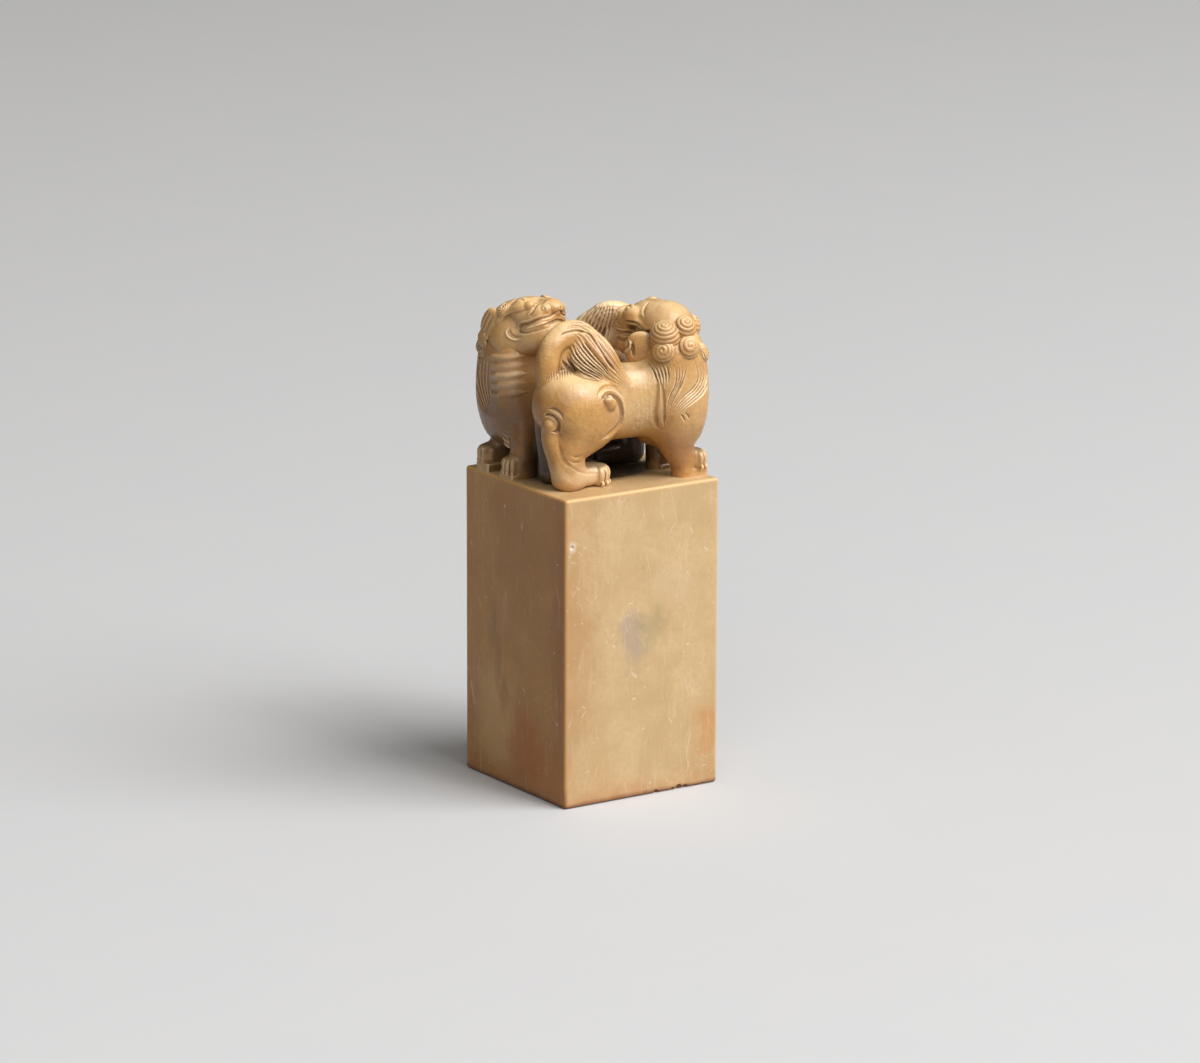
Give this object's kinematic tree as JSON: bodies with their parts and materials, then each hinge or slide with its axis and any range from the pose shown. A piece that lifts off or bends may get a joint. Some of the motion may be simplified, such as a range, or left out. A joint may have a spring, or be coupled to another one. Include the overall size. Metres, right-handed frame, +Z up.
{
  "type": "stone seal",
  "caption": "Square stone seal with a cut printing face below and a knob of lions carved in the round on top, heads turned back and plumed tails raised.",
  "frame": {"origin": "middle of the printing face, on the surface that the seal stands on", "axes": "+Z up along the shaft, +X the way the front lion walks, -Y towards the front lion's outer side"},
  "size_m": [0.03, 0.03, 0.0802],
  "materials": {
    "polished_stone": "waxed satin with fine scratches",
    "carved_stone": "waxed and polished, dark in the hollows",
    "paste_stained_stone": "matt, stained by red seal paste"
  },
  "bodies": {
    "root": {"printing_face": "paste_stained_stone", "shaft": "polished_stone", "front_lion_torso": "carved_stone", "front_lion_mane": "carved_stone", "front_lion_head": "carved_stone", "front_lion_mane_curls": "carved_stone", "front_lion_tail": "carved_stone", "front_lion_right_foreleg": "carved_stone", "front_lion_left_foreleg": "carved_stone", "front_lion_right_hindleg": "carved_stone", "front_lion_left_hindleg": "carved_stone", "rear_lion_torso": "carved_stone", "rear_lion_mane": "carved_stone", "rear_lion_head": "carved_stone", "rear_lion_mane_curls": "carved_stone", "rear_lion_tail": "carved_stone", "rear_lion_right_foreleg": "carved_stone", "rear_lion_left_foreleg": "carved_stone", "rear_lion_right_hindleg": "carved_stone", "rear_lion_left_hindleg": "carved_stone"}
  },
  "joints": []
}
